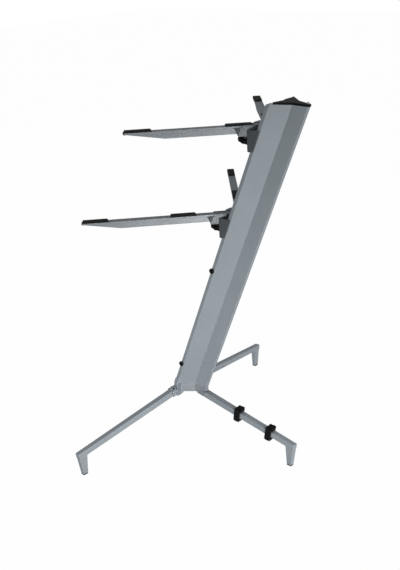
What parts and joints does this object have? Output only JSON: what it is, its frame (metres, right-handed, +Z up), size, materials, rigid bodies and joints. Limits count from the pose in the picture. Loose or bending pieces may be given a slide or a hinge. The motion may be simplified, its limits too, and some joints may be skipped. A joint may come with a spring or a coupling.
{
  "type": "keyboard stand",
  "caption": "Leaning column stand on folding legs, with sliding carriages that hold pairs of padded support arms for keyboards",
  "frame": {"origin": "on the floor, under the middle of the stand's bounding box", "axes": "+X to the right of a player who faces the stand, +Y away from the player, +Z up"},
  "size_m": [0.937, 0.5747, 1.1705],
  "materials": {
    "column_silver": "satin anodised",
    "casting_silver": "satin silver paint on cast aluminium",
    "arm_silver": "satin anodised",
    "casting_dark": "matt dark grey paint",
    "black_rubber": "matt",
    "black_plastic": "moulded, fine grain",
    "plain_steel": "plated"
  },
  "bodies": {
    "column": {"column_extrusion": "column_silver", "top_cap": "black_plastic", "top_cap_screw": "plain_steel", "hub_casting": "casting_silver", "hub_screws": "plain_steel", "lip_bumpers": "black_rubber", "right_leg_bracket": "casting_silver", "left_leg_bracket": "casting_silver", "right_leg_collar": "casting_silver", "left_leg_collar": "casting_silver", "right_leg_pin": "plain_steel", "left_leg_pin": "plain_steel"},
    "right_leg": {"right_leg_beam": "casting_silver", "right_foot_tip": "black_rubber"},
    "left_leg": {"left_leg_beam": "casting_silver", "left_foot_tip": "black_rubber"},
    "rear_leg": {"rear_leg_beam": "casting_silver", "rear_foot_tip": "black_rubber", "rear_leg_clips": "black_plastic", "rear_leg_pin": "plain_steel"},
    "lower_carriage": {"lower_carriage": "casting_dark", "lower_arm_bracket": "casting_silver", "lower_clamp_plate": "casting_dark", "lower_clamp_bolts": "plain_steel"},
    "lower_right_arm": {"lower_right_arm": "arm_silver", "lower_right_tip_pad": "black_rubber", "lower_right_inner_pad": "black_rubber"},
    "lower_right_knob": {"lower_right_knob": "black_plastic", "lower_right_stud": "plain_steel"},
    "lower_left_arm": {"lower_left_arm": "arm_silver", "lower_left_tip_pad": "black_rubber", "lower_left_inner_pad": "black_rubber"},
    "lower_left_knob": {"lower_left_knob": "black_plastic", "lower_left_stud": "plain_steel"},
    "upper_carriage": {"upper_carriage": "casting_dark", "upper_arm_bracket": "casting_silver", "upper_clamp_plate": "casting_dark", "upper_clamp_bolts": "plain_steel"},
    "upper_right_arm": {"upper_right_arm": "arm_silver", "upper_right_tip_pad": "black_rubber", "upper_right_inner_pad": "black_rubber"},
    "upper_right_knob": {"upper_right_knob": "black_plastic", "upper_right_stud": "plain_steel"},
    "upper_left_arm": {"upper_left_arm": "arm_silver", "upper_left_tip_pad": "black_rubber", "upper_left_inner_pad": "black_rubber"},
    "upper_left_knob": {"upper_left_knob": "black_plastic", "upper_left_stud": "plain_steel"}
  },
  "joints": [
    {"name": "right_leg_fold", "type": "hinge", "parent": "column", "child": "right_leg", "pos_m": [0.06275, -0.23322, 0.13974], "axis": [-0.0341, -0.924, 0.3808], "range_deg": [0, 97.1]},
    {"name": "left_leg_fold", "type": "hinge", "parent": "column", "child": "left_leg", "pos_m": [-0.06275, -0.23322, 0.13974], "axis": [-0.0341, 0.924, -0.3808], "range_deg": [0, 97.1]},
    {"name": "rear_leg_fold", "type": "hinge", "parent": "column", "child": "rear_leg", "pos_m": [0, -0.11773, 0.13947], "axis": [1, 0, 0], "range_deg": [0, 71]},
    {"name": "lower_carriage_slide", "type": "slide", "parent": "column", "child": "lower_carriage", "axis": [0, 0.3811, 0.9245], "range_m": [-0.11, 0.06]},
    {"name": "upper_carriage_slide", "type": "slide", "parent": "column", "child": "upper_carriage", "axis": [0, 0.3811, 0.9245], "range_m": [-0.09, 0.03]},
    {"name": "lower_right_arm_slide", "type": "slide", "parent": "lower_carriage", "child": "lower_right_arm", "axis": [0.7314, -0.682, 0], "range_m": [0, 0.03]},
    {"name": "lower_right_knob_turn", "type": "hinge", "parent": "lower_carriage", "child": "lower_right_knob", "pos_m": [0.04534, -0.01137, 0.78425], "axis": [0, 0.3811, 0.9245], "range_deg": [0, 540]},
    {"name": "lower_left_arm_slide", "type": "slide", "parent": "lower_carriage", "child": "lower_left_arm", "axis": [-0.7314, -0.682, 0], "range_m": [0, 0.03]},
    {"name": "lower_left_knob_turn", "type": "hinge", "parent": "lower_carriage", "child": "lower_left_knob", "pos_m": [-0.04534, -0.01137, 0.78425], "axis": [0, 0.3811, 0.9245], "range_deg": [0, 540]},
    {"name": "upper_right_arm_slide", "type": "slide", "parent": "upper_carriage", "child": "upper_right_arm", "axis": [0.7314, -0.682, 0], "range_m": [0, 0.03]},
    {"name": "upper_right_knob_turn", "type": "hinge", "parent": "upper_carriage", "child": "upper_right_knob", "pos_m": [0.04534, 0.10197, 1.05925], "axis": [0, 0.3811, 0.9245], "range_deg": [0, 540]},
    {"name": "upper_left_arm_slide", "type": "slide", "parent": "upper_carriage", "child": "upper_left_arm", "axis": [-0.7314, -0.682, 0], "range_m": [0, 0.03]},
    {"name": "upper_left_knob_turn", "type": "hinge", "parent": "upper_carriage", "child": "upper_left_knob", "pos_m": [-0.04534, 0.10197, 1.05925], "axis": [0, 0.3811, 0.9245], "range_deg": [0, 540]}
  ]
}
